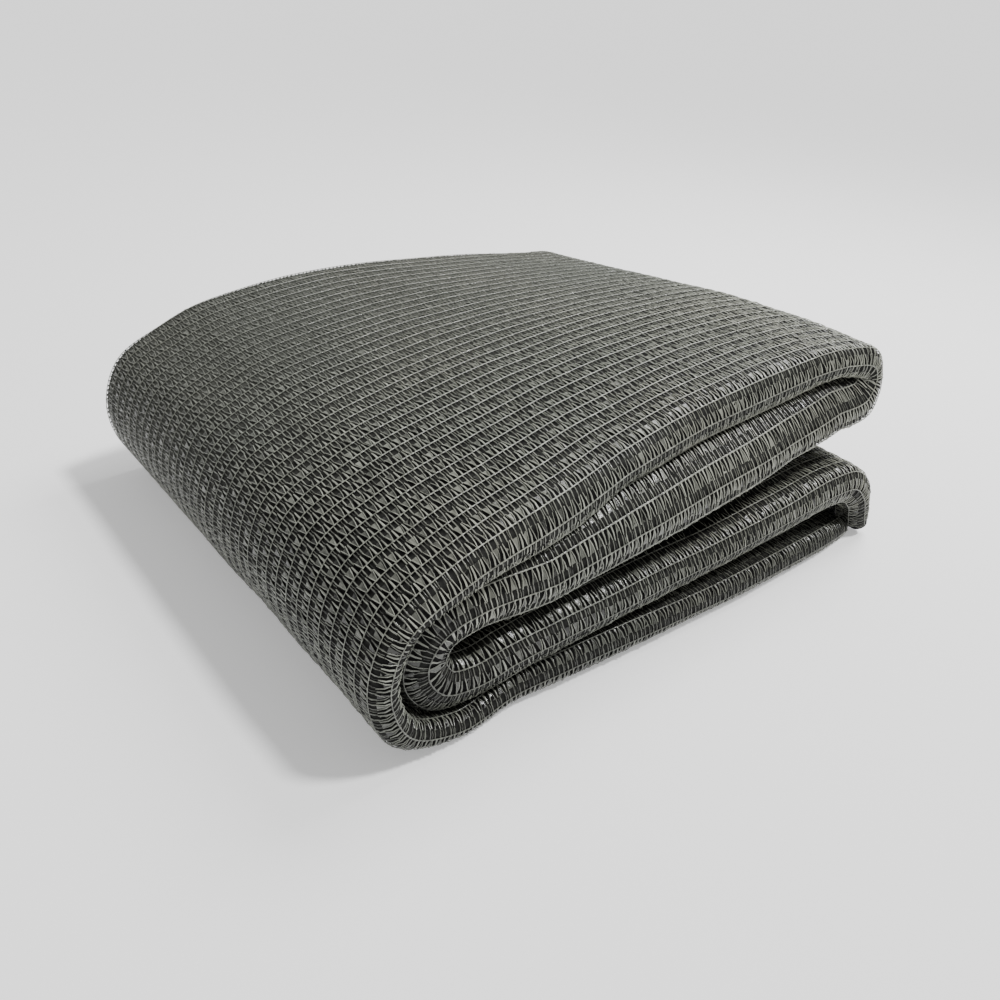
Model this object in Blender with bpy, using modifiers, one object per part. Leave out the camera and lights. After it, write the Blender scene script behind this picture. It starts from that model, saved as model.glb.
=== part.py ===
"""Folded shade cloth: one knitted sheet, folded to a strip four layers thick,
and the strip folded in half twice, so that it lies in four runs on top of each other.

The sheet is a grid.  Its columns cross the strip, from selvedge to selvedge, and its
rows follow the strip from one cut end to the other.  fold_point() puts each grid point
in its place, and Solidify gives the sheet its thickness.
Lengths in the tables are millimetres.  The long side of the pack runs along X, the
rounded side folds face -Y, and the pack lies on z = 0.
"""
import math

import bmesh
import bpy

MM = 0.001
NODE_NAME = "shade_cloth"

CLOTH_THICKNESS = 1.6      # the knit as it puffs up over its tapes and chains
LAYERS_IN_STRIP = 4
CENTRE_SHIFT_X = -127.5    # moves the middle of the pack to x = 0
CENTRE_SHIFT_Y = -118.0    # and to y = 0
DEPTH = 238.0              # from the front folds to the back of the pack

# Path of the strip's middle, seen from the front, with the strip's size at each row.
# spans is the number of grid rows from this station to the next one.
STATION_COLUMNS = ("x", "z", "strip_thick", "front", "back", "spans")
STATIONS = (
    # bottom run, from its cut end to the left
    (254.0, 4.8, 10.8, 1.0, 232.0, 1),
    (236.0, 5.6, 13.0, -1.0, 235.0, 2),
    (180.0, 6.6, 15.5, -3.0, 237.0, 2),
    (120.0, 6.8, 16.0, -2.0, 238.0, 2),
    (74.0, 6.2, 14.5, 0.0, 238.0, 1),
    (52.0, 5.1, 11.5, 2.0, 238.0, 1),
    (26.0, 4.5, 10.0, -1.0, 238.0, 3),
    # outer turn at the left end
    (3.6, 13.0, 11.0, -1.0, 238.0, 3),
    (-3.8, 35.0, 12.0, 0.0, 238.0, 3),
    (4.0, 56.0, 12.5, 0.0, 238.0, 3),
    # top run, to the right
    (25.0, 65.4, 14.0, 0.0, 238.0, 2),
    (62.0, 70.6, 18.0, 1.0, 238.0, 2),
    (105.0, 74.6, 21.0, 1.0, 239.0, 2),
    (150.0, 79.2, 23.5, 0.0, 239.0, 2),
    (200.0, 83.4, 22.5, 0.0, 238.0, 2),
    (238.0, 86.4, 16.5, 0.0, 236.0, 1),
    # upper turn at the right end
    (253.0, 84.0, 14.0, 0.0, 235.0, 2),
    (256.0, 75.6, 13.5, 1.0, 235.0, 2),
    (249.5, 67.2, 14.5, 1.0, 235.0, 1),
    # second run, to the left
    (232.0, 62.2, 19.5, 1.0, 236.0, 2),
    (198.0, 57.8, 26.0, 0.0, 236.0, 2),
    (150.0, 54.2, 28.0, 0.0, 237.0, 2),
    (105.0, 52.0, 26.5, 0.0, 236.0, 2),
    (66.0, 49.6, 24.0, 2.0, 236.0, 2),
    (36.0, 48.2, 21.5, 3.5, 235.0, 1),
    # inner turn at the left end
    (20.5, 44.4, 20.5, 4.0, 235.0, 2),
    (13.6, 33.0, 20.0, 4.0, 235.0, 2),
    (20.5, 21.6, 20.0, 3.0, 235.0, 1),
    # third run, to the right, its end turned down over the bottom run
    (36.0, 18.6, 20.5, 2.5, 235.0, 1),
    (66.0, 26.4, 24.5, 1.0, 234.0, 2),
    (105.0, 29.2, 27.5, 0.0, 234.0, 2),
    (150.0, 29.2, 26.5, 0.0, 234.0, 2),
    (200.0, 30.8, 26.5, 0.0, 233.0, 2),
    (230.0, 32.4, 21.5, 0.0, 232.0, 1),
    (248.0, 28.4, 16.0, -1.0, 232.0, 1),
    (256.0, 21.0, 13.0, -2.0, 231.0, 1),
    (259.6, 15.4, 12.0, -2.0, 231.0, 0),
)

# The strip's cross-section, from one selvedge to the other.  A layer goes straight
# across, and a fold turns round on a half circle.  Levels count layer pitches from the
# middle of the strip, and are positive on the strip's outer side.
SECTION_COLUMNS = ("kind", "level_from", "level_to", "side", "spans")
SECTION = (
    ("layer", -0.5, -0.5, "to_front", 7),
    ("fold", -0.5, 0.5, "front", 4),
    ("layer", 0.5, 0.5, "to_back", 7),
    ("fold", 0.5, 1.5, "back", 4),
    ("layer", 1.5, 1.5, "to_front", 7),
    ("fold", 1.5, -1.5, "front", 8),
    ("layer", -1.5, -1.5, "to_back", 7),
)
SELVEDGE_INSET = (7.0, 3.0)    # how far each selvedge stops short of the back

# How much the pack is taller (above 1) or lower at its back than at its front.
BACK_HEIGHT_COLUMNS = ("x", "ratio")
BACK_HEIGHT = (
    (-10.0, 1.00),
    (10.0, 1.00),
    (40.0, 1.05),
    (70.0, 1.05),
    (95.0, 1.03),
    (125.0, 0.98),
    (155.0, 0.92),
    (195.0, 0.85),
    (235.0, 0.79),
    (262.0, 0.78),
)
CROWN = 0.05               # most extra height, at a third of the depth
CROWN_SHAPE = 27.0 / 4.0   # makes the crown's highest value 1

# How far the top of the front leans back, along the length.
LEAN_COLUMNS = ("x", "setback")
LEAN = (
    (-10.0, 1.0),
    (25.0, 3.0),
    (60.0, 7.0),
    (105.0, 12.0),
    (150.0, 17.0),
    (200.0, 18.0),
    (240.0, 14.0),
    (262.0, 11.0),
)
LEAN_START_Z = 44.0
LEAN_FULL_Z = 90.0

CLOTH_COLOUR = (0.075, 0.079, 0.068, 1.0)
CLOTH_ROUGHNESS = 0.55


def column(table, names, name):
    """One named column of a table, as a list."""
    place = names.index(name)
    return [row[place] for row in table]


def lookup(table, x):
    """Smooth value of a two-column table at x."""
    if x <= table[0][0]:
        return table[0][1]
    for (x0, y0), (x1, y1) in zip(table, table[1:]):
        if x <= x1:
            t = (x - x0) / (x1 - x0)
            t = t * t * (3.0 - 2.0 * t)
            return y0 + (y1 - y0) * t
    return table[-1][1]


def smooth_step(value, low, high):
    """0 below low, 1 above high, and a smooth rise between."""
    t = min(max((value - low) / (high - low), 0.0), 1.0)
    return t * t * (3.0 - 2.0 * t)


def cubic_slopes(knots, values):
    """Slopes of a smooth curve through the values."""
    steps = [
        (values[i + 1] - values[i]) / (knots[i + 1] - knots[i])
        for i in range(len(values) - 1)
    ]
    slopes = [steps[0]]
    for before, after in zip(steps, steps[1:]):
        slopes.append((before + after) / 2.0)
    slopes.append(steps[-1])
    return slopes


def cubic_value(knots, values, slopes, i, t):
    """Point at fraction t of span i on that curve."""
    width = knots[i + 1] - knots[i]
    t2 = t * t
    t3 = t2 * t
    return (
        (2.0 * t3 - 3.0 * t2 + 1.0) * values[i]
        + (t3 - 2.0 * t2 + t) * width * slopes[i]
        + (3.0 * t2 - 2.0 * t3) * values[i + 1]
        + (t3 - t2) * width * slopes[i + 1]
    )


def path_rows():
    """The strip's middle at each grid row: place, outward normal and sizes."""
    xs = column(STATIONS, STATION_COLUMNS, "x")
    zs = column(STATIONS, STATION_COLUMNS, "z")
    knots = [0.0]
    for i in range(1, len(xs)):
        knots.append(knots[-1] + math.hypot(xs[i] - xs[i - 1], zs[i] - zs[i - 1]))
    curves = {}
    for name in ("x", "z", "strip_thick", "front", "back"):
        values = column(STATIONS, STATION_COLUMNS, name)
        curves[name] = (values, cubic_slopes(knots, values))

    def at(name, i, t):
        values, slopes = curves[name]
        return cubic_value(knots, values, slopes, i, t)

    places = []
    for i, spans in enumerate(column(STATIONS, STATION_COLUMNS, "spans")):
        places.extend((i, k / spans) for k in range(spans))
    places.append((len(STATIONS) - 2, 1.0))

    rows = []
    small = 0.01
    for i, t in places:
        t0 = max(t - small, 0.0)
        t1 = min(t + small, 1.0)
        dx = at("x", i, t1) - at("x", i, t0)
        dz = at("z", i, t1) - at("z", i, t0)
        length = math.hypot(dx, dz)
        row = {name: at(name, i, t) for name in curves}
        row["normal"] = (-dz / length, dx / length)
        rows.append(row)
    return rows


def section_columns():
    """Each grid column's part of the cross-section, and how far along it the column lies."""
    columns = []
    for index, spans in enumerate(column(SECTION, SECTION_COLUMNS, "spans")):
        columns.extend((index, k / spans) for k in range(spans))
    columns.append((len(SECTION) - 1, 1.0))
    return columns


def section_point(index, t, row):
    """Depth y and offset from the strip's middle, for one grid column and one row."""
    kind, level_from, level_to, side, spans = SECTION[index]
    pitch = row["strip_thick"] / LAYERS_IN_STRIP
    front_centre = row["front"] + 1.5 * pitch
    back_centre = row["back"] - 0.5 * pitch
    if kind == "fold":
        middle = (level_from + level_to) / 2.0
        radius = abs(level_to - level_from) / 2.0 * pitch
        rise = math.copysign(1.0, level_to - level_from)
        angle = math.pi * t
        reach = radius * math.sin(angle)
        offset = middle * pitch - rise * radius * math.cos(angle)
        y = front_centre - reach if side == "front" else back_centre + reach
        return y, offset
    back_end = back_centre
    if index == 0:
        back_end = back_centre - SELVEDGE_INSET[0]
    if index == len(SECTION) - 1:
        back_end = back_centre - SELVEDGE_INSET[1]
    if side == "to_front":
        t = 1.0 - t
    y = front_centre + (back_end - front_centre) * t
    return y, level_from * pitch


def fold_point(index, t, row):
    """Where one grid point lies in the folded pack, in metres."""
    y, offset = section_point(index, t, row)
    normal_x, normal_z = row["normal"]
    x = row["x"] + normal_x * offset
    z = row["z"] + normal_z * offset
    across = min(max(y / DEPTH, 0.0), 1.0)
    ratio = 1.0 + (lookup(BACK_HEIGHT, x) - 1.0) * across
    ratio += CROWN * CROWN_SHAPE * across * (1.0 - across) ** 2
    floor = CLOTH_THICKNESS / 2.0
    lean = lookup(LEAN, x) * smooth_step(z, LEAN_START_Z, LEAN_FULL_Z)
    z = floor + max(z - floor, 0.0) * ratio
    y += lean * (1.0 - across)
    return ((x + CENTRE_SHIFT_X) * MM, (y + CENTRE_SHIFT_Y) * MM, z * MM)


def make_material():
    material = bpy.data.materials.new("grey_green_knit")
    material.use_nodes = True
    shader = material.node_tree.nodes["Principled BSDF"]
    shader.inputs["Base Color"].default_value = CLOTH_COLOUR
    shader.inputs["Roughness"].default_value = CLOTH_ROUGHNESS
    shader.inputs["Metallic"].default_value = 0.0
    return material


def make_cloth():
    """The folded sheet: a grid moved into its folds, then thickened."""
    rows = path_rows()
    columns = section_columns()
    sheet = bmesh.new()
    bmesh.ops.create_grid(
        sheet,
        x_segments=len(columns) - 1,
        y_segments=len(rows) - 1,
        size=1.0,
    )
    # the grid's own coordinates run from -1 to 1 both ways
    for vert in sheet.verts:
        i = round((vert.co.x + 1.0) / 2.0 * (len(columns) - 1))
        j = round((vert.co.y + 1.0) / 2.0 * (len(rows) - 1))
        index, t = columns[i]
        vert.co = fold_point(index, t, rows[j])
    mesh = bpy.data.meshes.new(NODE_NAME)
    sheet.to_mesh(mesh)
    sheet.free()
    cloth = bpy.data.objects.new(NODE_NAME, mesh)
    mesh.materials.append(make_material())
    thick = cloth.modifiers.new("Thickness", "SOLIDIFY")
    thick.thickness = CLOTH_THICKNESS * MM
    thick.offset = 0.0
    thick.use_rim = True
    return cloth


def main():
    for thing in list(bpy.data.objects):
        bpy.data.objects.remove(thing)
    collection = bpy.data.collections.new("folded_shade_cloth")
    bpy.context.scene.collection.children.link(collection)
    collection.objects.link(make_cloth())


main()
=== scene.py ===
"""Looks of the folded shade cloth: the sheet in its folds, and the knit on it."""
import math

import bpy
import numpy as np
from mathutils import Matrix, Vector


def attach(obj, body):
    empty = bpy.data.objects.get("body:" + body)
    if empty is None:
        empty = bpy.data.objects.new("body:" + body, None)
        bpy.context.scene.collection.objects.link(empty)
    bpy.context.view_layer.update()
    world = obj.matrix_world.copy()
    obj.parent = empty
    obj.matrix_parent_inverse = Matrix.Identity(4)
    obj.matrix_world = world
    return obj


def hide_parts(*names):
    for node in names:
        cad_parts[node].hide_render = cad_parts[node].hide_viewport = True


MM = 0.001
CAD_NODE = "shade_cloth"

# The folds, in millimetres
CENTRE_SHIFT_X = -127.5
CENTRE_SHIFT_Y = -118.0
DEPTH = 238.0              # of the pack, front to back
LOWEST = 0.4               # the sheet's middle, so that its underside clears the surface
FLOOR_Z = 0.8              # heights above this level are scaled towards the back
# Middle of the strip (x, z), its thickness, and the y of its front and its back
STATIONS = np.array([
    # bottom run, from its cut end to the left
    (251.0, 4.8, 10.8, 1.0, 232.0), (234.0, 5.6, 13.0, -1.0, 235.0),
    (180.0, 6.6, 15.5, -3.0, 237.0), (120.0, 6.8, 16.0, -2.0, 238.0),
    (74.0, 6.2, 14.5, 0.0, 238.0), (52.0, 5.1, 11.5, 2.0, 238.0),
    (26.0, 4.5, 10.0, -1.0, 238.0),
    # outer turn at the left end
    (3.6, 13.0, 11.0, -1.0, 238.0), (-3.8, 35.0, 12.0, 0.0, 238.0),
    (4.0, 56.0, 12.5, 0.0, 238.0),
    # top run, to the right
    (25.0, 65.4, 14.0, 0.0, 238.0), (62.0, 70.6, 18.0, 1.0, 238.0),
    (105.0, 74.6, 21.0, 1.0, 239.0), (150.0, 79.2, 23.5, 0.0, 239.0),
    (200.0, 83.4, 22.5, 0.0, 238.0), (238.0, 86.4, 16.5, 0.0, 236.0),
    # upper turn at the right end
    (256.5, 84.2, 14.0, 0.0, 235.0), (259.5, 75.8, 13.5, 1.0, 235.0),
    (251.5, 66.8, 17.0, 1.0, 235.0),
    # second run, to the left
    (232.0, 61.6, 23.0, 1.0, 236.0), (198.0, 57.6, 26.5, 0.0, 236.0),
    (150.0, 54.2, 28.0, 0.0, 237.0), (105.0, 52.0, 26.5, 0.0, 236.0),
    (66.0, 49.6, 24.0, 2.0, 236.0), (36.0, 48.2, 21.5, 3.5, 235.0),
    # inner turn at the left end
    (20.5, 44.4, 20.5, 4.0, 235.0), (13.6, 33.0, 20.0, 4.0, 235.0),
    (20.5, 21.6, 20.0, 3.0, 235.0),
    # third run, to the right, its end turned down over the bottom run
    (36.0, 18.6, 20.5, 2.5, 235.0), (66.0, 26.4, 24.5, 1.0, 234.0),
    (105.0, 29.2, 27.5, 0.0, 234.0), (150.0, 29.2, 26.5, 0.0, 234.0),
    (200.0, 30.8, 26.5, 0.0, 233.0), (230.0, 32.4, 21.5, 0.0, 232.0),
    (245.5, 32.4, 17.0, -1.0, 232.0), (254.0, 25.5, 14.0, -2.0, 231.0),
    (259.0, 13.5, 11.0, -2.0, 231.0), (261.5, 4.8, 9.0, -2.0, 231.0),
])
# Station numbers where a run ends or begins
BOTTOM_END = 6
UPPER_TURN_END = 19
INNER_TURN_MIDDLE = 26.0
FLAP_START = 33
PATH_STEPS = 60            # steps of the path between two stations
LAYERS = 4.0               # of cloth in the strip
OUTER_SELVEDGE = 3.0       # how far the outer layer's edge stops short of the back
INNER_SELVEDGE = 7.0       # how far the innermost layer's edge does

# The pack's height at the back, over its height in front: x, ratio
BACK_HEIGHT = np.array([
    (-10.0, 1.00), (10.0, 1.00), (40.0, 1.05), (70.0, 1.05), (95.0, 1.03),
    (125.0, 0.98), (155.0, 0.92), (195.0, 0.85), (235.0, 0.79), (262.0, 0.78),
])
CROWN = 0.05               # how much higher the pack is at a third of its depth
CROWN_SHAPE = 27.0 / 4.0   # makes the crown's curve one high at its peak
# How far back the front of the upper layers lies: x, distance
LEAN = np.array([
    (-10.0, 1.0), (25.0, 3.0), (60.0, 7.0), (105.0, 12.0), (150.0, 17.0),
    (200.0, 18.0), (240.0, 14.0), (262.0, 11.0),
])
LEAN_START_Z = 44.0
LEAN_FULL_Z = 90.0

# How much fuller (above 0) or thinner the front roll is than the layers behind it, on the
# strip's outer and inner side: station number, outer, inner
FULLNESS = np.array([
    (0, 0, 0), (2, 0, 0), (3, 0, 1.0), (4, 0, 2.2), (5, 0, 2.2), (6, 0, 1.0), (7, 0, 2.0),
    (9, 0, 2.0), (10, 0, 2.2), (11, 0, 2.2), (11.4, 0, 1.0), (12, 0, -4.0),
    (13, 0, -3.8), (14, 0, -1.5), (15, 0, -0.5), (16, 0, 4.0), (17, 0, 5.0),
    (18, 0, 5.5), (19, -5.0, 7.5), (20, -6.5, 7.2), (21, -3.0, 7.6), (22, 0, 7.2),
    (22.6, 1.0, 4.5), (23, 3.5, 2.5), (23.5, 3.0, 2.2), (24, 1.5, 2.0), (25, 3.0, 2.5),
    (26, 5.0, 2.5), (27, 3.0, 2.5), (28, 1.0, 1.0), (28.4, 2.5, 2.0), (29, -3.0, 4.0),
    (29.6, -5.0, 4.0), (30, -6.5, 2.5), (31, -6.0, 2.0), (32, -2.5, 2.0), (32.6, -1.0, 2.0),
    (33, 0.0, 2.5), (34, 0.0, 5.0), (35, 0, 6.0), (36, 0, 4.0), (37, 0, 2.0),
])
OUTER_REACH = 10.0         # how far behind the roll its fullness goes, on the outer side
INNER_REACH = 32.0         # and on the inner side

# Soft unevenness of the sheet: heights, and wave lengths over 2 pi, across (u) and along (s)
WIDE_BUMP = 0.32
WIDE_U = 23.0
WIDE_S = 37.0
WIDE_SLANT_U = 71.0        # the wide waves run slightly askew
WIDE_SLANT_S = 61.0
WIDE_PHASE = 0.7
FINE_BUMP = 0.20
FINE_U = 9.0
FINE_S = 13.0
FINE_PHASE = 0.4
FINE_STRAY = 1.3           # how far the fine waves stray, in radians, and in what length
FINE_STRAY_S = 29.0
PLAIN_SHARE = 0.85         # how much of it is gone far from the front roll
PLAIN_START = 120.0        # along the cloth, from the middle of the front roll
PLAIN_WIDTH = 80.0

# The sheet
SHEET_THICKNESS = 0.7
SHEET_SINK = -0.25         # the sheet's middle lies under the tapes
SHEET_ROWS = 250
SHEET_SPANS = (22, 20, 22, 8, 16, 6, 16)    # mesh columns in each layer and fold

# The knit
CHAIN_PITCH = 7.5          # between chain lines, across the strip
REPEAT = 4.3               # one V and one stem, along a chain line
CELLS_PER_PIECE = 2400
TABLE_STEPS = 1500         # steps of a chain's table of length
LONG_STRAY = 0.5           # how far a chain line strays sideways, in long waves
LONG_STRAY_S = 47.0        # their lengths over 2 pi, along and across
LONG_STRAY_U = 90.0
SHORT_STRAY = 0.25         # and in short ones
SHORT_STRAY_S = 17.0
SHORT_STRAY_U = 31.0
SHORT_STRAY_PHASE = 2.0
V_RIDGE = 0.24             # how far a tape's middle stands above its edges
LEG_RIDGE = 0.22
LOOSE_RIDGE = 0.18
CHAIN_SWELL = (1.0, 0.15, 0.8, 0.15, 1.0)    # thick and thin places of the two stitches
CHAIN_HALF = 0.14          # half width of the chain without its swell
CHAIN_HALF_SWELL = 0.18    # and how much the full swell adds
CHAIN_HEIGHT = 0.45
CHAIN_HEIGHT_SWELL = 0.14
CHAIN_RIDGE = 0.26
CHAIN_PAINTED_TONES = (0.50, 0.80, 0.50)    # of its one edge, its top and its other edge: painted highlight on top, painted shade at the edges
CHAIN_TONE = 0.74          # share of them without its swell
# painted highlight: how much lighter the stitches' thick ends are
CHAIN_SWELL_HIGHLIGHT = 0.34

# Chance in the knit: standard deviations
SEED = 11
SHIFT_ACROSS = 0.16
SHIFT_ALONG = 0.15
SHIFT_UP = 0.10
SHAKE = 0.09               # of each point, off the sheet
TINT = 0.20                # of a tape's tone
CHAIN_TINT = 0.5           # share of it that a chain takes
TONE_LIMITS = (0.05, 1.4)

# How much knit is kept about the places that can be seen, in millimetres of cloth
SELVEDGE_CLEAR = 4.0
ROLL_INNER = 24.0
ROLL_OUTER = 26.0
RECESS_DEPTH = 75.0
BACK_OUTER = 16.0
BACK_INNER = 12.0
RIM_WIDTH = 14.0
FIRST_LENGTH = 24.0
LAST_LENGTH = 30.0

# Changes of the knit's tone over the pack: painted shade low down and in the inner turn, painted
# light high at the back
LOW_PAINTED_SHADE = 0.55            # painted shade: the lowest rolls are darker and duller
LOW_START_Z = 2.0
LOW_HEIGHT = 58.0
TURN_DARK = 0.45           # the cloth inside the inner turn is in deep shade
TURN_START = 0.8           # stations from the turn's middle
TURN_WIDTH = 1.2
PAINTED_LIGHT_KNIT = 0.66           # painted light: how much of the tapes' contrast goes far back and high up
PAINTED_LIGHT_TONE = 0.30
PAINTED_LIGHT_START_Y = -75.0
PAINTED_LIGHT_DEPTH = 150.0
PAINTED_LIGHT_START_Z = 10.0
PAINTED_LIGHT_HEIGHT = 40.0

# The tapes' surface; the tone between dark and light carries painted highlight and painted shade
TAPE_DARK = (0.004, 0.0042, 0.0036)
TAPE_LIGHT = (0.335, 0.342, 0.303)
TAPE_COOL = (0.86, 0.93, 0.92)
TAPE_WARM = (1.12, 1.07, 0.98)
TAPE_CLOUDS = 9.0          # noise scale of the change between cool and warm
TAPE_CLOUD_DETAIL = 3.0
TAPE_STRETCH = (1.6, 7.0, 1.0)
TAPE_STREAKS = (0.25, 1.75)
TAPE_STREAK_DETAIL = 3.0
TAPE_GRAIN_DETAIL = 4.0
TAPE_ROUGHNESS = (0.10, 0.42)
GLOSS_NOISE = (0.3, 0.7)   # noise values between which the roughness changes
TAPE_BUMP = 0.0003
TAPE_IOR = 1.5
TAPE_SHEEN = 0.05
GRAIN = 900.0              # noise scale of the fine grain
GRAIN_STRENGTH = 0.6

# The ground's surface: from one chain line to the next, place and grey; the black by the chains
# is painted shade in the knit's openings
GROUND_STOPS = (
    (0.0, 0.0008), (0.40, 0.0012), (0.56, 0.009), (0.80, 0.015), (0.95, 0.007), (1.0, 0.0008),
)
GROUND_GREEN = 1.02        # the grey's green and blue, over its red
GROUND_BLUE = 0.92
# painted light: the ground's grey high at the back
GROUND_PAINTED_LIGHT = (0.062, 0.064, 0.056)
GROUND_STRETCH = (2.5, 5.0, 1.0)
GROUND_STREAKS = (0.0, 2.0)
GROUND_STREAK_DETAIL = 2.0
GROUND_GRAIN_DETAIL = 2.0
GROUND_BUMP = 0.0004
GROUND_ROUGHNESS = 0.75
GROUND_SPECULAR = 0.12

# Camera and light, in metres and degrees
CAMERA_PLACE = (-0.2480, -0.3074, 0.2478)
CAMERA_YAW = 50.3
CAMERA_PITCH = 31.9
CAMERA_ROLL = 3.58
CAMERA_LENS = 34.67
CAMERA_SENSOR = 36.0
WORLD_STRENGTH = 0.42
KEY_SOURCE = (0.44, -0.30, 0.90)
KEY_STRENGTH = 3.0
KEY_ANGLE = 8.0
SIDE_PLACE = (0.44, 0.04, 0.62)
SIDE_AIM = (0.08, -0.04, 0.06)
SIDE_SIZE = 0.35
SIDE_POWER = 4.5
FLOOR_HALF = 6.0
FLOOR_GREY = 0.92
FLOOR_ROUGHNESS = 0.9
FLOOR_GLOW = 0.35

rng = np.random.default_rng(SEED)


def smooth(t):
    """0 up to t = 0, 1 from t = 1, and a soft step between."""
    t = np.clip(t, 0.0, 1.0)
    return t * t * (3.0 - 2.0 * t)


def lookup(table, x):
    """Value of a two-column table, on a curve without flats at its points."""
    xs, ys = table[:, 0], table[:, 1]
    x = np.clip(x, xs[0], xs[-1])
    i = np.clip(np.searchsorted(xs, x, side="right") - 1, 0, len(xs) - 2)
    slopes = np.gradient(ys, xs)
    width = xs[i + 1] - xs[i]
    t = (x - xs[i]) / width
    rise = (3.0 - 2.0 * t) * t * t
    bend = width * (slopes[i] * t * (1.0 - t) ** 2 - slopes[i + 1] * t * t * (1.0 - t))
    return ys[i] + (ys[i + 1] - ys[i]) * rise + bend


def make_path():
    """Dense table of the strip's middle: length along it, then its stations and normals."""
    xz = STATIONS[:, :2]
    knots = np.concatenate([[0.0], np.cumsum(np.hypot(*np.diff(xz, axis=0).T))])
    steps = np.diff(STATIONS, axis=0) / np.diff(knots)[:, None]
    slopes = np.vstack([steps[:1], (steps[:-1] + steps[1:]) / 2.0, steps[-1:]])
    rows = []
    for i in range(len(STATIONS) - 1):
        width = knots[i + 1] - knots[i]
        for t in np.arange(PATH_STEPS) / PATH_STEPS:
            rows.append(
                (2 * t**3 - 3 * t**2 + 1) * STATIONS[i]
                + (t**3 - 2 * t**2 + t) * width * slopes[i]
                + (3 * t**2 - 2 * t**3) * STATIONS[i + 1]
                + (t**3 - t**2) * width * slopes[i + 1]
            )
    rows.append(STATIONS[-1])
    rows = np.array(rows)
    slope = np.gradient(rows[:, :2], axis=0)
    slope /= np.linalg.norm(slope, axis=1)[:, None]
    s = np.concatenate([[0.0], np.cumsum(np.hypot(*np.diff(rows[:, :2], axis=0).T))])
    return s, np.column_stack([rows, -slope[:, 1], slope[:, 0]])


PATH_S, PATH = make_path()
STATION_S = PATH_S[::PATH_STEPS]
LENGTH = PATH_S[-1]


def at(s):
    """x, z, thickness, front, back, normal x, normal z of the strip at s."""
    return [np.interp(s, PATH_S, PATH[:, k]) for k in range(PATH.shape[1])]


def station(s):
    """The station number at s, with a fraction between two stations."""
    return np.interp(s, STATION_S, np.arange(len(STATION_S)))


def layers(s):
    """At s: the layers' pitch, the front roll's radius, and the y of the front and the
    back folds' middles."""
    thick, front, back = at(s)[2:5]
    pitch = thick / LAYERS
    radius = 0.5 * (LAYERS - 1.0) * pitch
    return pitch, radius, front + radius, back - 0.5 * pitch


def fullness(s):
    """Extra height of the front roll on the outer and the inner side of the strip."""
    where = station(s)
    return [np.interp(where, FULLNESS[:, 0], FULLNESS[:, k]) for k in (1, 2)]


def roll(s):
    """The front roll at s: its reach, its half height and the shift of its middle."""
    radius = layers(s)[1]
    outer, inner = fullness(s)
    return radius, radius + (outer + inner) / 2.0, (outer - inner) / 2.0


def breaks(s):
    """The cloth coordinate u where each layer and fold starts and ends, at s."""
    pitch, _, front_mid, back_mid = layers(s)
    layer = back_mid - front_mid
    reach, half, _ = roll(s)
    nose = 0.5 * math.pi * np.sqrt((reach**2 + half**2) / 2.0)
    turn = 0.5 * math.pi * pitch
    edges = [-nose - layer + OUTER_SELVEDGE, -nose, nose, nose + layer]
    edges.append(edges[3] + turn)
    edges.append(edges[4] + layer)
    edges.append(edges[5] + turn)
    edges.append(edges[6] + layer - INNER_SELVEDGE)
    return np.array(edges)


def relief(u, s):
    """Soft unevenness of the sheet, off its middle surface."""
    bump = WIDE_BUMP * np.sin(u / WIDE_U + s / WIDE_SLANT_S + WIDE_PHASE)
    bump *= np.sin(s / WIDE_S - u / WIDE_SLANT_U)
    fine = FINE_BUMP * np.sin(u / FINE_U + FINE_STRAY * np.sin(s / FINE_STRAY_S))
    bump += fine * np.sin(s / FINE_S + FINE_PHASE)
    return bump * (1.0 - PLAIN_SHARE * smooth((np.abs(u) - PLAIN_START) / PLAIN_WIDTH))


def section(u, s):
    """The strip's cross section: y, height over the strip's middle, and both parts of the
    normal there."""
    pitch, radius, front_mid, back_mid = layers(s)
    reach, half, shift = roll(s)
    outer, inner = fullness(s)
    e = breaks(s)
    behind_inner = e[1] - u
    behind_outer = u - e[2]
    front = np.clip(0.5 * math.pi * u / e[2], -0.5 * math.pi, 0.5 * math.pi)
    slant = np.hypot(np.cos(front) / reach, np.sin(front) / half)
    back = (u - e[3]) / (0.5 * pitch)
    nested = (u - e[5]) / (0.5 * pitch)
    forms = [
        # the layer on the strip's inner side
        (front_mid + behind_inner,
         -radius - inner * np.exp(-((behind_inner / INNER_REACH) ** 2)), 0.0, -1.0),
        # the front roll
        (front_mid - reach * np.cos(front), shift + half * np.sin(front),
         -np.cos(front) / reach / slant, np.sin(front) / half / slant),
        # the layer on the strip's outer side
        (front_mid + behind_outer,
         radius + outer * np.exp(-((behind_outer / OUTER_REACH) ** 2)), 0.0, 1.0),
        # the fold at the back
        (back_mid + 0.5 * pitch * np.sin(back), pitch + 0.5 * pitch * np.cos(back),
         np.sin(back), np.cos(back)),
        # the layer that comes forward inside
        (back_mid - (u - e[4]), 0.5 * pitch, 0.0, -1.0),
        # the nested fold in front
        (front_mid - 0.5 * pitch * np.sin(nested), 0.5 * pitch * np.cos(nested),
         np.sin(nested), -np.cos(nested)),
        # the innermost layer
        (front_mid + (u - e[6]), -0.5 * pitch, 0.0, 1.0),
    ]
    before = [u < e[k] for k in range(1, len(forms))]
    return [np.select(before, values[:-1], values[-1]) for values in zip(*forms)]


def settled(x, y, z):
    """The place after the pack's crown, its fall to the back and the lean of its front."""
    across = np.clip(y / DEPTH, 0.0, 1.0)
    ratio = 1.0 + (lookup(BACK_HEIGHT, x) - 1.0) * across
    ratio = ratio + CROWN * CROWN_SHAPE * across * (1.0 - across) ** 2
    lean = lookup(LEAN, x) * smooth((z - LEAN_START_Z) / (LEAN_FULL_Z - LEAN_START_Z))
    z = FLOOR_Z + (z - FLOOR_Z) * np.where(z > FLOOR_Z, ratio, 1.0)
    return x, y + lean * (1.0 - across), np.maximum(z, LOWEST)


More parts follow.
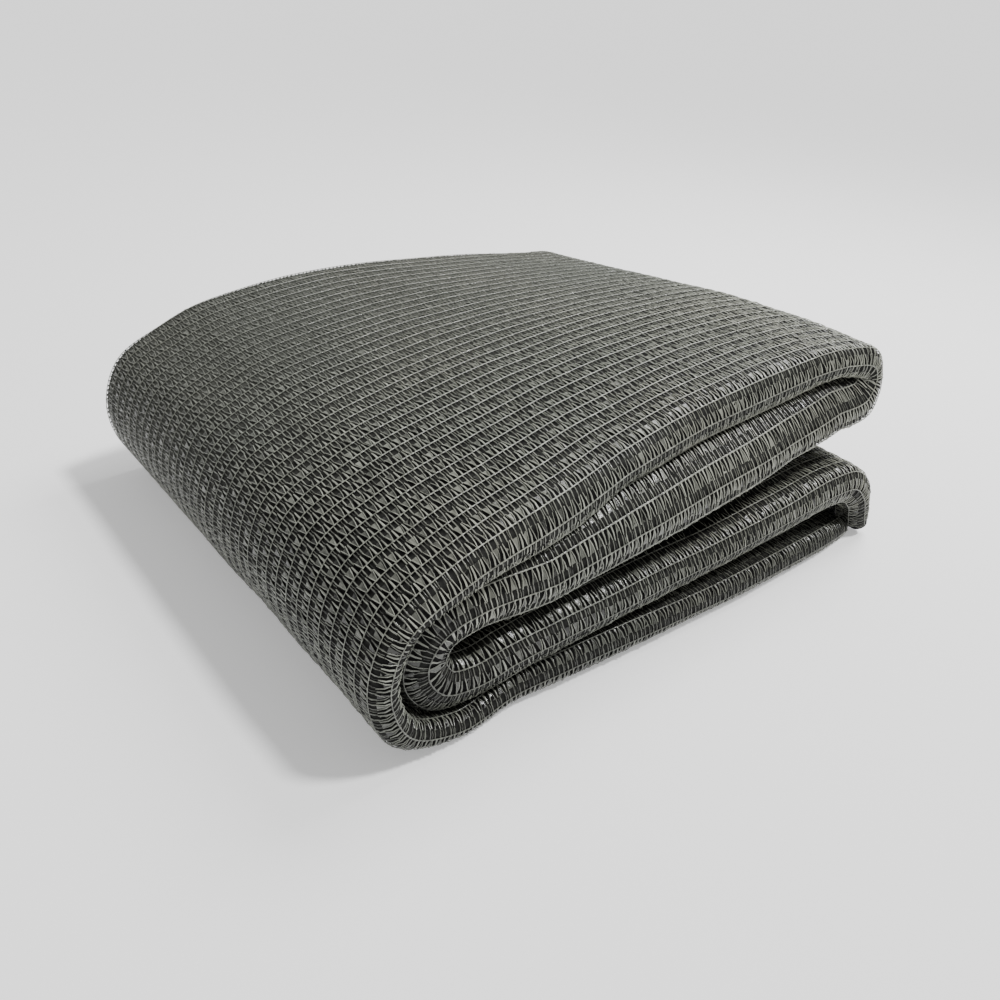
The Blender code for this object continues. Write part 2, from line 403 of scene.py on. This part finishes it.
def place(u, s, n):
    """Where the point u across, s along and n above the sheet lies, in metres."""
    x, z, _, _, _, normal_x, normal_z = at(s)
    y, off, normal_y, normal_off = section(u, s)
    n = n + relief(u, s)
    y = y + normal_y * n
    off = off + normal_off * n
    x, y, z = settled(x + normal_x * off, y, z + normal_z * off)
    return np.column_stack([x + CENTRE_SHIFT_X, y + CENTRE_SHIFT_Y, z]) * MM


def painted_back_light(co):
    """0 near the front, towards 1 far back and high up, where light is painted onto the knit."""
    back = smooth((co[:, 1] / MM - PAINTED_LIGHT_START_Y) / PAINTED_LIGHT_DEPTH)
    return back * smooth((co[:, 2] / MM - PAINTED_LIGHT_START_Z) / PAINTED_LIGHT_HEIGHT)


def mesh_object(name, points, quads, uv, tone, material):
    """A mesh from arrays of points and four-cornered faces."""
    mesh = bpy.data.meshes.new(name)
    mesh.vertices.add(len(points))
    mesh.vertices.foreach_set("co", points.ravel())
    mesh.loops.add(quads.size)
    mesh.loops.foreach_set("vertex_index", quads.ravel().astype(np.int32))
    mesh.polygons.add(len(quads))
    mesh.polygons.foreach_set("loop_start", np.arange(len(quads), dtype=np.int32) * 4)
    mesh.polygons.foreach_set("loop_total", np.full(len(quads), 4, dtype=np.int32))
    mesh.update(calc_edges=True)
    mesh.polygons.foreach_set("use_smooth", np.ones(len(quads), dtype=bool))
    layer = mesh.uv_layers.new(name="knit")
    layer.data.foreach_set("uv", uv[quads.ravel()].ravel())
    shade = mesh.attributes.new("tone", "FLOAT", "POINT")
    shade.data.foreach_set("value", tone.astype(np.float32))
    mesh.materials.append(material)
    thing = bpy.data.objects.new(name, mesh)
    bpy.context.scene.collection.objects.link(thing)
    return thing


def new_material(name):
    """A material with its node tree and its Principled shader."""
    material = bpy.data.materials.new(name)
    material.use_nodes = True
    tree = material.node_tree
    return material, tree, tree.nodes["Principled BSDF"]


def tone_value(tree):
    """The tone kept at each point of a mesh."""
    attribute = tree.nodes.new("ShaderNodeAttribute")
    attribute.attribute_name = "tone"
    return attribute.outputs["Fac"]


def knit_uv(tree):
    """Coordinates that count chain lines across and repeats along."""
    uv = tree.nodes.new("ShaderNodeUVMap")
    uv.uv_map = "knit"
    return uv.outputs["UV"]


def noise(tree, vector, scale, detail):
    """Noise over the given coordinates."""
    texture = tree.nodes.new("ShaderNodeTexNoise")
    texture.inputs["Scale"].default_value = scale
    texture.inputs["Detail"].default_value = detail
    tree.links.new(vector, texture.inputs["Vector"])
    return texture.outputs["Fac"]


def mix_colour(tree, factor, a, b):
    """A colour between a and b."""
    mix = tree.nodes.new("ShaderNodeMix")
    mix.data_type = "RGBA"
    tree.links.new(factor, mix.inputs["Factor"])
    mix.inputs["A"].default_value = (*a, 1.0)
    mix.inputs["B"].default_value = (*b, 1.0)
    return mix.outputs["Result"]


def multiplied(tree, a, b):
    """The product of two colours of the tree."""
    mix = tree.nodes.new("ShaderNodeMix")
    mix.data_type = "RGBA"
    mix.blend_type = "MULTIPLY"
    mix.inputs["Factor"].default_value = 1.0
    tree.links.new(a, mix.inputs["A"])
    tree.links.new(b, mix.inputs["B"])
    return mix.outputs["Result"]


def streaked(tree, colour, stretch, detail, greys):
    """The colour with fine lines along the tapes, from the darkest to the lightest grey."""
    mapping = tree.nodes.new("ShaderNodeMapping")
    mapping.inputs["Scale"].default_value = stretch
    tree.links.new(knit_uv(tree), mapping.inputs["Vector"])
    lines = noise(tree, mapping.outputs["Vector"], 1.0, detail)
    low, high = greys
    return multiplied(tree, colour, mix_colour(tree, lines, (low,) * 3, (high,) * 3))


def grained(tree, shader, grain, distance):
    """Bumps on the shader from the fine grain."""
    bump = tree.nodes.new("ShaderNodeBump")
    bump.inputs["Strength"].default_value = GRAIN_STRENGTH
    bump.inputs["Distance"].default_value = distance
    tree.links.new(grain, bump.inputs["Height"])
    tree.links.new(bump.outputs["Normal"], shader.inputs["Normal"])


def tape_material():
    """Plastic tape: its tone along the knit, with painted highlight and painted shade, soft
    colour change, and fine lines.
    """
    material, tree, shader = new_material("knit_tape")
    own_place = tree.nodes.new("ShaderNodeTexCoord").outputs["Object"]
    base = mix_colour(tree, tone_value(tree), TAPE_DARK, TAPE_LIGHT)
    clouds = noise(tree, own_place, TAPE_CLOUDS, TAPE_CLOUD_DETAIL)
    tinted = multiplied(tree, base, mix_colour(tree, clouds, TAPE_COOL, TAPE_WARM))
    colour = streaked(tree, tinted, TAPE_STRETCH, TAPE_STREAK_DETAIL, TAPE_STREAKS)
    tree.links.new(colour, shader.inputs["Base Color"])
    grain = noise(tree, own_place, GRAIN, TAPE_GRAIN_DETAIL)
    gloss = tree.nodes.new("ShaderNodeMapRange")
    gloss.inputs["From Min"].default_value = GLOSS_NOISE[0]
    gloss.inputs["From Max"].default_value = GLOSS_NOISE[1]
    gloss.inputs["To Min"].default_value = TAPE_ROUGHNESS[0]
    gloss.inputs["To Max"].default_value = TAPE_ROUGHNESS[1]
    tree.links.new(grain, gloss.inputs["Value"])
    tree.links.new(gloss.outputs["Result"], shader.inputs["Roughness"])
    grained(tree, shader, grain, TAPE_BUMP)
    shader.inputs["IOR"].default_value = TAPE_IOR
    shader.inputs["Sheen Weight"].default_value = TAPE_SHEEN
    return material


def painted_shade_slits(tree):
    """Grey of the ground by its place between two chain lines, black beside a chain as painted
    shade in the openings.
    """
    parts = tree.nodes.new("ShaderNodeSeparateXYZ")
    tree.links.new(knit_uv(tree), parts.inputs["Vector"])
    between = tree.nodes.new("ShaderNodeMath")
    between.operation = "FRACT"
    tree.links.new(parts.outputs["X"], between.inputs[0])
    ramp = tree.nodes.new("ShaderNodeValToRGB")
    elements = ramp.color_ramp.elements
    while len(elements) < len(GROUND_STOPS):
        elements.new(0.5)
    for element, (where, grey) in zip(elements, GROUND_STOPS):
        element.position = where
        element.color = (grey, grey * GROUND_GREEN, grey * GROUND_BLUE, 1.0)
    tree.links.new(between.outputs[0], ramp.inputs["Fac"])
    return ramp.outputs["Color"]


def ground_material():
    """The dark ground between the tapes: black slits by a chain, painted as the shade seen
    through the openings, dark film beyond, lighter high at the back with painted light.
    """
    material, tree, shader = new_material("knit_ground")
    # painted shade in the knit's openings beside each chain
    slits = painted_shade_slits(tree)
    near = streaked(tree, slits, GROUND_STRETCH, GROUND_STREAK_DETAIL, GROUND_STREAKS)
    # painted light: the ground goes to a lighter grey high at the back
    far = tree.nodes.new("ShaderNodeMix")
    far.data_type = "RGBA"
    tree.links.new(tone_value(tree), far.inputs["Factor"])
    tree.links.new(near, far.inputs["A"])
    far.inputs["B"].default_value = (*GROUND_PAINTED_LIGHT, 1.0)
    tree.links.new(far.outputs["Result"], shader.inputs["Base Color"])
    own_place = tree.nodes.new("ShaderNodeTexCoord").outputs["Object"]
    grain = noise(tree, own_place, GRAIN, GROUND_GRAIN_DETAIL)
    grained(tree, shader, grain, GROUND_BUMP)
    shader.inputs["Roughness"].default_value = GROUND_ROUGHNESS
    shader.inputs["Specular IOR Level"].default_value = GROUND_SPECULAR
    return material


def make_sheet(material):
    """The sheet in its folds, with the painted light high at the back as its tone."""
    s_rows = np.linspace(0.0, LENGTH, SHEET_ROWS)
    edges = breaks(s_rows)
    columns = []
    for k, spans in enumerate(SHEET_SPANS):
        for j in range(spans):
            columns.append((k, j / spans))
    columns.append((len(SHEET_SPANS) - 1, 1.0))
    u = np.array([edges[k] + (edges[k + 1] - edges[k]) * t for k, t in columns])
    s = np.broadcast_to(s_rows, u.shape)
    points = place(u.ravel(), s.ravel(), np.full(u.size, SHEET_SINK))
    count = u.shape[1]
    i, j = np.meshgrid(np.arange(u.shape[0] - 1), np.arange(count - 1), indexing="ij")
    a = (i * count + j).ravel()
    quads = np.column_stack([a, a + 1, a + count + 1, a + count])
    uv = np.column_stack([u.ravel() / CHAIN_PITCH, s.ravel() / REPEAT])
    sheet = mesh_object("cloth_sheet", points, quads, uv, painted_back_light(points), material)
    thick = sheet.modifiers.new("Thickness", "SOLIDIFY")
    thick.thickness = SHEET_THICKNESS * MM
    thick.offset = 0.0
    return sheet


def flat_tape(rows, tone):
    """A flat tape: rows of (du, ds, half width, height)."""
    points, quads = [], []
    for du, ds, half, height in rows:
        points.extend([(du, ds - half, height), (du, ds + half, height)])
    for i in range(len(rows) - 1):
        quads.append((2 * i, 2 * i + 1, 2 * i + 3, 2 * i + 2))
    return points, quads, [tone] * len(points)


def ridged_tape(rows, edge, top, ridge):
    """A tape with a ridge along its middle: rows of (du, ds, half width, height), the tones
    of its edges and its top, and the height of the ridge. The lighter top is a painted
    highlight, the darker edges painted shade."""
    points, tones = [], []
    for du, ds, half, height in rows:
        for side in (-1.0, 0.0, 1.0):
            points.append((du, ds + side * half, height + (ridge if side == 0.0 else 0.0)))
            tones.append(top if side == 0.0 else edge)
    quads = []
    for i in range(len(rows) - 1):
        for j in range(2):
            a = i * 3 + j
            quads.append((a, a + 1, a + 4, a + 3))
    return points, quads, tones


def chain():
    """Two stitches of a chain, each thicker at its ends than in its middle, with painted
    highlight on its top and its thick ends and painted shade at its edges.
    """
    points, quads, tones = [], [], []
    steps = len(CHAIN_SWELL) - 1
    for k, swell in enumerate(CHAIN_SWELL):
        half = CHAIN_HALF + CHAIN_HALF_SWELL * swell
        for side, tone in zip((-1.0, 0.0, 1.0), CHAIN_PAINTED_TONES):
            top = CHAIN_RIDGE if side == 0.0 else 0.0
            height = CHAIN_HEIGHT + top + CHAIN_HEIGHT_SWELL * swell
            points.append((side * half, REPEAT * k / steps, height))
            tones.append(tone * (CHAIN_TONE + CHAIN_SWELL_HIGHLIGHT * swell))
    for k in range(steps):
        for j in range(2):
            a = k * 3 + j
            quads.append((a, a + 3, a + 4, a + 1))
    return points, quads, tones


def cell_template():
    """One repeat of the knit, above a chain line: points, faces, tones, tape of each."""
    parts = [
        # V: thin tape that opens away from its chain
        flat_tape(
            [(0.2, 0.0, 0.14, 0.22), (2.1, 0.0, 0.62, 0.30), (4.3, 0.0, 1.05, 0.20)],
            tone=0.24,
        ),
        # its two edges, with painted sheen, one lighter than the other (painted light)
        ridged_tape(
            [(-0.1, -0.05, 0.14, 0.42), (2.1, -0.62, 0.19, 0.52), (4.6, -1.12, 0.16, 0.22)],
            edge=0.55, top=1.15, ridge=V_RIDGE,
        ),
        ridged_tape(
            [(-0.1, 0.05, 0.14, 0.42), (2.1, 0.62, 0.19, 0.52), (4.6, 1.12, 0.16, 0.22)],
            edge=0.45, top=1.00, ridge=V_RIDGE,
        ),
        # stem between two Vs, its foot on the chain
        ridged_tape(
            [(0.1, 2.15, 0.42, 0.30), (2.1, 2.15, 0.34, 0.46), (4.4, 2.15, 0.22, 0.24)],
            edge=0.55, top=1.05, ridge=V_RIDGE,
        ),
        # legs under the next chain, painted darker as the shade under it
        ridged_tape(
            [(4.2, 1.07, 0.22, 0.12), (5.9, 1.07, 0.28, 0.34), (7.4, 1.00, 0.20, 0.42)],
            edge=0.28, top=0.66, ridge=LEG_RIDGE,
        ),
        ridged_tape(
            [(4.2, 3.22, 0.22, 0.12), (5.9, 3.22, 0.28, 0.34), (7.4, 3.30, 0.20, 0.42)],
            edge=0.28, top=0.66, ridge=LEG_RIDGE,
        ),
        # a loose end of tape between them, painted dark as the shade in the channel's middle
        ridged_tape(
            [(4.6, 2.30, 0.12, 0.10), (6.0, 2.05, 0.14, 0.26), (7.2, 2.15, 0.12, 0.30)],
            edge=0.20, top=0.42, ridge=LOOSE_RIDGE,
        ),
        chain(),
    ]
    points, quads, tones, owner = [], [], [], []
    for number, (tape_points, tape_quads, tape_tones) in enumerate(parts):
        base = len(points)
        points.extend(tape_points)
        quads.extend([tuple(base + corner for corner in face) for face in tape_quads])
        tones.extend(tape_tones)
        owner.extend([number] * len(tape_points))
    return np.array(points), np.array(quads), np.array(tones), np.array(owner)


def seen_at(u, s):
    """Which of the places at one u can be seen."""
    e = breaks(s)
    run = np.searchsorted(STATION_S, s)
    top = (run > BOTTOM_END) & (run <= UPPER_TURN_END)
    flap = run >= FLAP_START
    end = (s < FIRST_LENGTH) | (s > LENGTH - LAST_LENGTH)
    clear = (u > e[0] + SELVEDGE_CLEAR) & (u < e[-1] - SELVEDGE_CLEAR)
    front = (u > e[1] - ROLL_INNER) & (u < e[2] + ROLL_OUTER)
    middle_run = (run > UPPER_TURN_END) & (run < FLAP_START)
    recess = middle_run & (u > e[2]) & (u < e[2] + RECESS_DEPTH)
    back = (u > e[3] - BACK_OUTER) & (u < e[4] + BACK_INNER)
    rims = (u < e[0] + RIM_WIDTH) | (u > e[-1] - RIM_WIDTH)
    outer = (u > e[2]) & (u < e[3]) & (top | flap | end)
    inner = (u < e[1]) & end
    return clear & (front | recess | back | rims | outer | inner)


def all_cells():
    """Chain number and length along its own surface of each cell that can be seen,
    with the table of that length for each chain, and the s of its steps."""
    s = np.linspace(0.0, LENGTH, TABLE_STEPS)
    e = breaks(s)
    first = math.floor(e[0].min() / CHAIN_PITCH)
    last = math.ceil(e[-1].max() / CHAIN_PITCH)
    tables, chains, lengths = {}, [], []
    for k in range(first, last):
        u = (k + 0.5) * CHAIN_PITCH
        line = place(np.full(s.size, u), s, np.zeros(s.size)) / MM
        steps = np.linalg.norm(np.diff(line, axis=0), axis=1)
        table = np.concatenate([[0.0], np.cumsum(steps)])
        tables[k] = table
        starts = np.arange(int(table[-1] // REPEAT)) * REPEAT
        middles = np.interp(starts + REPEAT / 2.0, table, s)
        seen = starts[seen_at(u, middles)]
        chains.append(np.full(len(seen), k))
        lengths.append(seen)
    return np.concatenate(chains), np.concatenate(lengths), tables, s


def wander(u, s):
    """How far a chain line strays sideways."""
    long_waves = LONG_STRAY * np.sin(s / LONG_STRAY_S + u / LONG_STRAY_U)
    phase = s / SHORT_STRAY_S + u / SHORT_STRAY_U + SHORT_STRAY_PHASE
    return long_waves + SHORT_STRAY * np.sin(phase)


def chance(cells, owner):
    """Shifts across, along and off the sheet, tint and shake of each cell's points.
    Chains, the last tape of a cell, keep their place."""
    shape = (cells, owner.max() + 1)
    shifts = [rng.normal(0.0, spread, shape) for spread in (SHIFT_ACROSS, SHIFT_ALONG, SHIFT_UP)]
    for shift in shifts:
        shift[:, -1] = 0.0
    tint = rng.normal(0.0, TINT, shape)
    tint[:, -1] *= CHAIN_TINT
    shake = rng.normal(0.0, SHAKE, (cells, len(owner)))
    shake[:, owner == owner.max()] = 0.0
    across, along, up = (shift[:, owner] for shift in shifts)
    return across, along, up, tint[:, owner], shake


def over_pack(tone, co, s):
    """The tone, drawn closer to one grey far back (painted light), and darker low down and
    inside the inner turn (painted shade).
    """
    # painted light: far back and high up, the tapes' tones draw towards one grey
    tone = tone + PAINTED_LIGHT_KNIT * painted_back_light(co) * (PAINTED_LIGHT_TONE - tone)
    # painted shade: darker towards the bottom of the pack
    low = 1.0 - smooth((co[:, 2] / MM - LOW_START_Z) / LOW_HEIGHT)
    turn = 1.0 - smooth((np.abs(station(s) - INNER_TURN_MIDDLE) - TURN_START) / TURN_WIDTH)
    return tone * (1.0 - LOW_PAINTED_SHADE * low) * (1.0 - TURN_DARK * turn)


def make_knit(material):
    """The tapes and chains, in pieces of up to CELLS_PER_PIECE cells."""
    points, quads, tones, owner = cell_template()
    chains, starts, tables, s_table = all_cells()
    print("cells", len(chains), "triangles", len(chains) * len(quads) * 2)
    pieces = []
    for number, first in enumerate(range(0, len(chains), CELLS_PER_PIECE)):
        k = chains[first:first + CELLS_PER_PIECE]
        begin = starts[first:first + CELLS_PER_PIECE]
        across, along, up, tint, shake = chance(len(k), owner)
        u = k[:, None] * CHAIN_PITCH + points[:, 0] + across
        length = begin[:, None] + points[:, 1] + along
        s = np.zeros_like(length)
        for one in np.unique(k):
            rows = k == one
            s[rows] = np.interp(length[rows], tables[one], s_table)
        n = points[:, 2] + up + shake
        u = u + wander(u, s)
        co = place(u.ravel(), s.ravel(), n.ravel())
        faces = (np.arange(len(k))[:, None, None] * len(points) + quads).reshape(-1, 4)
        tone = over_pack(np.clip(tones + tint, *TONE_LIMITS).ravel(), co, s.ravel())
        uv = np.column_stack([u.ravel() / CHAIN_PITCH, s.ravel() / REPEAT])
        pieces.append(mesh_object(f"knit_{number:02d}", co, faces, uv, tone, material))
    return pieces


def make_camera():
    """The photo's camera."""
    yaw, pitch, roll_angle = (
        math.radians(angle) for angle in (CAMERA_YAW, CAMERA_PITCH, CAMERA_ROLL)
    )
    forward = Vector((
        math.cos(yaw) * math.cos(pitch), math.sin(yaw) * math.cos(pitch), -math.sin(pitch),
    ))
    level_right = Vector((math.sin(yaw), -math.cos(yaw), 0.0))
    level_up = level_right.cross(forward)
    right = math.cos(roll_angle) * level_right + math.sin(roll_angle) * level_up
    up = -math.sin(roll_angle) * level_right + math.cos(roll_angle) * level_up
    data = bpy.data.cameras.new("camera")
    data.lens = CAMERA_LENS
    data.sensor_width = CAMERA_SENSOR
    camera = bpy.data.objects.new("camera", data)
    turn = Matrix((right, up, -forward)).transposed()
    camera.matrix_world = Matrix.Translation(CAMERA_PLACE) @ turn.to_4x4()
    bpy.context.scene.collection.objects.link(camera)
    bpy.context.scene.camera = camera


def key_light():
    """The sun over the right of the picture."""
    data = bpy.data.lights.new("key", "SUN")
    data.energy = KEY_STRENGTH
    data.angle = math.radians(KEY_ANGLE)
    light = bpy.data.objects.new("key", data)
    light.rotation_euler = (-Vector(KEY_SOURCE)).to_track_quat("-Z", "Y").to_euler()
    bpy.context.scene.collection.objects.link(light)


def side_light():
    """A soft square light beyond the right end."""
    data = bpy.data.lights.new("side", "AREA")
    data.shape = "RECTANGLE"
    data.size = SIDE_SIZE
    data.size_y = SIDE_SIZE
    data.energy = SIDE_POWER
    light = bpy.data.objects.new("side", data)
    light.location = SIDE_PLACE
    aim = Vector(SIDE_AIM) - Vector(SIDE_PLACE)
    light.rotation_euler = aim.to_track_quat("-Z", "Y").to_euler()
    bpy.context.scene.collection.objects.link(light)


def make_floor():
    """The plain floor, which is stage and not part."""
    material, _, shader = new_material("floor_white")
    shader.inputs["Base Color"].default_value = (FLOOR_GREY, FLOOR_GREY, FLOOR_GREY, 1.0)
    shader.inputs["Roughness"].default_value = FLOOR_ROUGHNESS
    shader.inputs["Emission Color"].default_value = (1.0, 1.0, 1.0, 1.0)
    shader.inputs["Emission Strength"].default_value = FLOOR_GLOW
    mesh = bpy.data.meshes.new("floor")
    r = FLOOR_HALF
    mesh.from_pydata([(-r, -r, 0), (r, -r, 0), (r, r, 0), (-r, r, 0)], [], [(0, 1, 2, 3)])
    mesh.materials.append(material)
    floor = bpy.data.objects.new("floor", mesh)
    bpy.context.scene.collection.objects.link(floor)


def make_studio():
    """Floor, world and lights."""
    make_floor()
    world = bpy.data.worlds.new("studio")
    world.use_nodes = True
    background = world.node_tree.nodes["Background"]
    background.inputs["Color"].default_value = (1.0, 1.0, 1.0, 1.0)
    background.inputs["Strength"].default_value = WORLD_STRENGTH
    bpy.context.scene.world = world
    key_light()
    side_light()


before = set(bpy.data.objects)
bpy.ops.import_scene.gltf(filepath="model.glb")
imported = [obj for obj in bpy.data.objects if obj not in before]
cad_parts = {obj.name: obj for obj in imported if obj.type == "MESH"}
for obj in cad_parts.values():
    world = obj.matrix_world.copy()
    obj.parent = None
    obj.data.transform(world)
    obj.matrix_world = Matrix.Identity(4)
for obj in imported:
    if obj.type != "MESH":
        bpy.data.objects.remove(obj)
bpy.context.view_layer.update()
knit = tape_material()
sheet = make_sheet(ground_material())
tapes = make_knit(knit)
for piece in [sheet, *tapes]:
    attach(piece, "root")
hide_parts(CAD_NODE)
make_camera()
make_studio()
